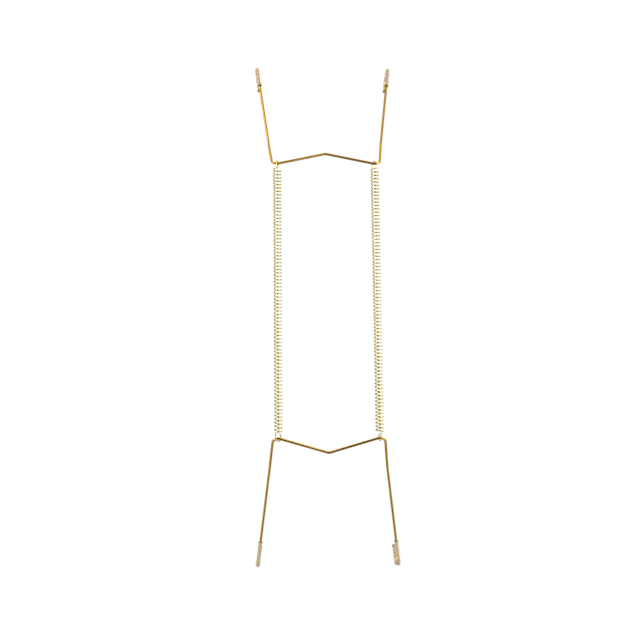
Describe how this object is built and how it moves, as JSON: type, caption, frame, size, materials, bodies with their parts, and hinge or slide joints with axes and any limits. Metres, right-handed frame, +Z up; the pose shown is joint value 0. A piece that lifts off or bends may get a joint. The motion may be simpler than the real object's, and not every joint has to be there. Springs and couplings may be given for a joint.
{
  "type": "wire plate hanger",
  "caption": "Spring wire plate hanger: bent wire claws with sleeved rim hooks, drawn together behind the plate by extension springs and hung from the peak of the upper crossbar.",
  "frame": {"origin": "the hanging point, on the wire's centre line at the peak of the upper claw's crossbar", "axes": "+Z up along the springs, +Y away from the wall towards the plate, +X to the right seen from the wall side"},
  "size_m": [0.0752, 0.0414, 0.2724],
  "materials": {
    "claw_wire": "bright brass plating on drawn spring wire",
    "spring_wire": "pale brass plating on drawn spring wire",
    "sleeve_vinyl": "clear glossy vinyl tube"
  },
  "bodies": {
    "upper_claw": {"upper_claw": "claw_wire", "upper_left_sleeve": "sleeve_vinyl", "upper_right_sleeve": "sleeve_vinyl"},
    "upper_spring_ends": {"left_spring": "spring_wire"},
    "lower_spring_ends": {"right_spring": "spring_wire"},
    "lower_claw": {"lower_claw": "claw_wire", "lower_left_sleeve": "sleeve_vinyl", "lower_right_sleeve": "sleeve_vinyl"}
  },
  "joints": [
    {"name": "upper_claw_pivot", "type": "hinge", "parent": "upper_claw", "child": "upper_spring_ends", "pos_m": [0, -0.00523, -0.00707], "axis": [1, 0, 0], "range_deg": [-126, 53]},
    {"name": "spring_stretch", "type": "slide", "parent": "upper_spring_ends", "child": "lower_spring_ends", "axis": [0, 0, -1], "range_m": [-0.09, 0.076], "deforming": ["left_spring", "right_spring"]},
    {"name": "lower_claw_pivot", "type": "hinge", "parent": "lower_spring_ends", "child": "lower_claw", "pos_m": [0, -0.00523, -0.15102], "axis": [1, 0, 0], "range_deg": [-126, 53]}
  ]
}
